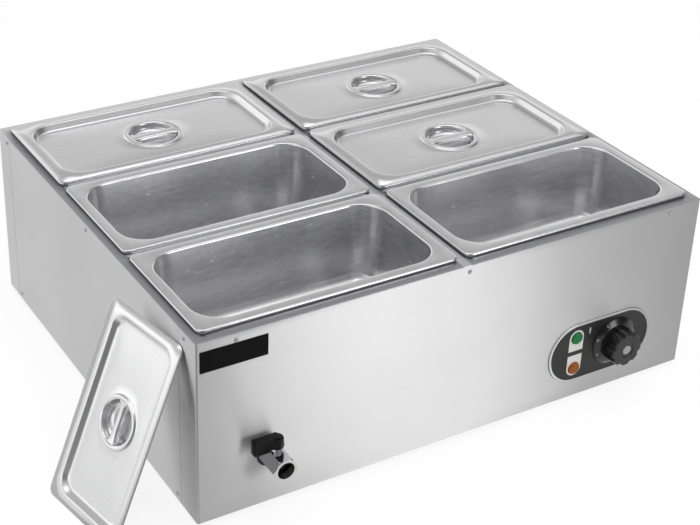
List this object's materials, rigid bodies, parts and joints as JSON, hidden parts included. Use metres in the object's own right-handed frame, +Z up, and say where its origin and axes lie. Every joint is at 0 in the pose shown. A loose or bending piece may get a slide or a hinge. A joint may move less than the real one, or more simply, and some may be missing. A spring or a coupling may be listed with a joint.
{
  "type": "countertop bain-marie",
  "caption": "Countertop bain-marie food warmer: brushed steel cabinet with food pans and recessed lids over a heated water tank, dial thermostat, pilot lamps and a ball-valve drain.",
  "frame": {"origin": "centre of the base plate's underside, above the rubber feet", "axes": "+X to the right, -Y to the front with the drain valve and the controls, +Z up"},
  "size_m": [0.7971, 0.6246, 0.2458],
  "materials": {
    "cabinet_steel": "satin brushed",
    "deck_steel": "satin brushed",
    "pan_steel": "bright satin",
    "lid_steel": "bright satin",
    "tank_steel": "satin",
    "screw_steel": "plain",
    "valve_chrome": "polished",
    "black_plate": "satin black",
    "black_plastic": "satin black",
    "cap_metal": "spun",
    "green_lens": "clear gloss",
    "amber_lens": "clear gloss",
    "white_plastic": "plain",
    "black_rubber": "matt",
    "brass": "plain",
    "lead_cover": "matt"
  },
  "bodies": {
    "cabinet": {"amber_lamp_body": "black_plastic", "amber_lens": "amber_lens", "base_plate": "cabinet_steel", "base_rivets": "screw_steel", "cable_gland": "black_plastic", "capillary_bulb": "brass", "capillary_gland": "brass", "control_plate": "black_plate", "cross_bar_back_left": "deck_steel", "cross_bar_back_right": "deck_steel", "cross_bar_front_left": "deck_steel", "cross_bar_front_right": "deck_steel", "deck_screws": "screw_steel", "drain_pipe": "tank_steel", "element_glands": "brass", "foot_back_left": "black_rubber", "foot_back_right": "black_rubber", "foot_front_left": "black_rubber", "foot_front_right": "black_rubber", "foot_nuts": "screw_steel", "foot_screws": "screw_steel", "front_panel": "cabinet_steel", "gland_nut": "black_plastic", "green_lamp_body": "black_plastic", "green_lens": "green_lens", "heating_element": "tank_steel", "lamp_nuts": "black_plastic", "leads": "lead_cover", "left_side_panel": "cabinet_steel", "name_plate": "black_plate", "overheat_cutout": "black_plastic", "pipe_grommet": "black_rubber", "rear_panel": "cabinet_steel", "right_side_panel": "cabinet_steel", "terminal_block": "white_plastic", "thermostat_body": "black_plastic", "thermostat_screws": "screw_steel", "top_deck": "deck_steel", "valve_body": "valve_chrome", "valve_seats": "white_plastic", "water_tank": "tank_steel"},
    "pan_front_left": {"pan_front_left": "pan_steel"},
    "pan_front_right": {"pan_front_right": "pan_steel"},
    "pan_middle_left": {"pan_middle_left": "pan_steel"},
    "pan_middle_right": {"pan_middle_right": "pan_steel"},
    "pan_back_left": {"pan_back_left": "pan_steel"},
    "pan_back_right": {"pan_back_right": "pan_steel"},
    "lid_back_left": {"lid_back_left": "lid_steel"},
    "lid_back_right": {"lid_back_right": "lid_steel"},
    "lid_middle_right": {"lid_middle_right": "lid_steel"},
    "leaning_lid": {"leaning_lid": "lid_steel"},
    "knob": {"thermostat_knob": "black_plastic", "knob_cap": "cap_metal", "thermostat_shaft": "screw_steel"},
    "lever": {"valve_lever": "black_plastic", "lever_nut": "screw_steel", "valve_stem": "screw_steel", "valve_ball": "valve_chrome"}
  },
  "joints": [
    {"name": "pan_front_left_lift", "type": "slide", "parent": "cabinet", "child": "pan_front_left", "axis": [0, 0, 1], "range_m": [0, 0.15]},
    {"name": "pan_front_right_lift", "type": "slide", "parent": "cabinet", "child": "pan_front_right", "axis": [0, 0, 1], "range_m": [0, 0.15]},
    {"name": "pan_middle_left_lift", "type": "slide", "parent": "cabinet", "child": "pan_middle_left", "axis": [0, 0, 1], "range_m": [0, 0.15]},
    {"name": "pan_middle_right_lift", "type": "slide", "parent": "cabinet", "child": "pan_middle_right", "axis": [0, 0, 1], "range_m": [0, 0.15]},
    {"name": "pan_back_left_lift", "type": "slide", "parent": "cabinet", "child": "pan_back_left", "axis": [0, 0, 1], "range_m": [0, 0.15]},
    {"name": "pan_back_right_lift", "type": "slide", "parent": "cabinet", "child": "pan_back_right", "axis": [0, 0, 1], "range_m": [0, 0.15]},
    {"name": "lid_back_left_lift", "type": "slide", "parent": "pan_back_left", "child": "lid_back_left", "axis": [0, 0, 1], "range_m": [0, 0.1]},
    {"name": "lid_back_right_lift", "type": "slide", "parent": "pan_back_right", "child": "lid_back_right", "axis": [0, 0, 1], "range_m": [0, 0.1]},
    {"name": "lid_middle_right_lift", "type": "slide", "parent": "pan_middle_right", "child": "lid_middle_right", "axis": [0, 0, 1], "range_m": [0, 0.1]},
    {"name": "leaning_lid_away", "type": "slide", "parent": "cabinet", "child": "leaning_lid", "axis": [-1, 0, 0], "range_m": [0, 0.15]},
    {"name": "knob_turn", "type": "hinge", "parent": "cabinet", "child": "knob", "pos_m": [0.228, -0.285, 0.064], "axis": [0, 1, 0], "range_deg": [0, 270]},
    {"name": "lever_turn", "type": "hinge", "parent": "cabinet", "child": "lever", "pos_m": [-0.2517, -0.2991, 0.0651], "axis": [0, 0, 1], "range_deg": [0, 90]}
  ]
}
